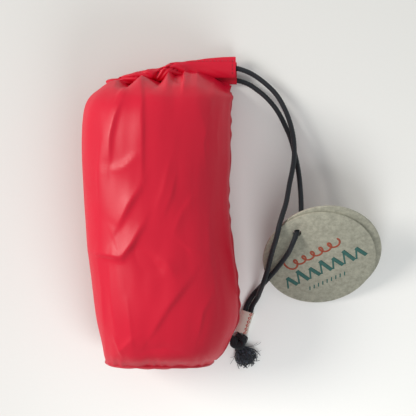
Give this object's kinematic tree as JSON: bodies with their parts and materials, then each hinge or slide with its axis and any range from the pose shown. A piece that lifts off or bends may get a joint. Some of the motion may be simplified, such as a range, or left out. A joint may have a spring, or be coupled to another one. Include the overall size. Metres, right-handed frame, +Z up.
{
  "type": "drawstring stuff sack",
  "caption": "Packed drawstring stuff sack of soft cloth lying on its side, with a round drawcord, a ribbon sleeve, an end knot and round board hang tags.",
  "frame": {"origin": "on the table under the middle of the sack", "axes": "+Y from the sack's base to its drawn mouth, +Z up from the table, +X towards the side seam and the free drawcord"},
  "size_m": [0.1945, 0.2116, 0.0781],
  "materials": {
    "red_nylon": "satin",
    "dark_red_nylon": "matte",
    "black_cord": "matte",
    "cream_ribbon": "matte",
    "grey_board": "matte",
    "striped_cloth": "matte"
  },
  "bodies": {
    "sack": {"sack_wall": "red_nylon", "base_panel": "red_nylon", "side_seam": "dark_red_nylon", "base_seam": "dark_red_nylon", "drawcord_channel": "red_nylon", "cord_in_channel": "black_cord", "packed_roll": "striped_cloth"},
    "drawcord": {"front_strand": "black_cord", "back_strand": "black_cord", "cord_knot": "black_cord", "frayed_ends": "black_cord"},
    "sleeve": {"ribbon_sleeve": "cream_ribbon"},
    "tag_front": {"front_tag": "grey_board"},
    "tag_back": {"back_tag": "grey_board"}
  },
  "joints": [
    {"name": "drawcord_pull", "type": "slide", "parent": "sack", "child": "drawcord", "axis": [1, 0, 0], "range_m": [0, 0.01]},
    {"name": "sleeve_slide", "type": "slide", "parent": "drawcord", "child": "sleeve", "axis": [0.309, 0.9511, 0], "range_m": [0, 0.004]},
    {"name": "front_tag_turn", "type": "hinge", "parent": "drawcord", "child": "tag_front", "pos_m": [0.08745, -0.01448, 0.0335], "axis": [0, -0.565, 0.8251], "range_deg": [-5, 35]},
    {"name": "back_tag_turn", "type": "hinge", "parent": "drawcord", "child": "tag_back", "pos_m": [0.08745, -0.01448, 0.0335], "axis": [0, -0.565, 0.8251], "range_deg": [-4, 25]}
  ]
}
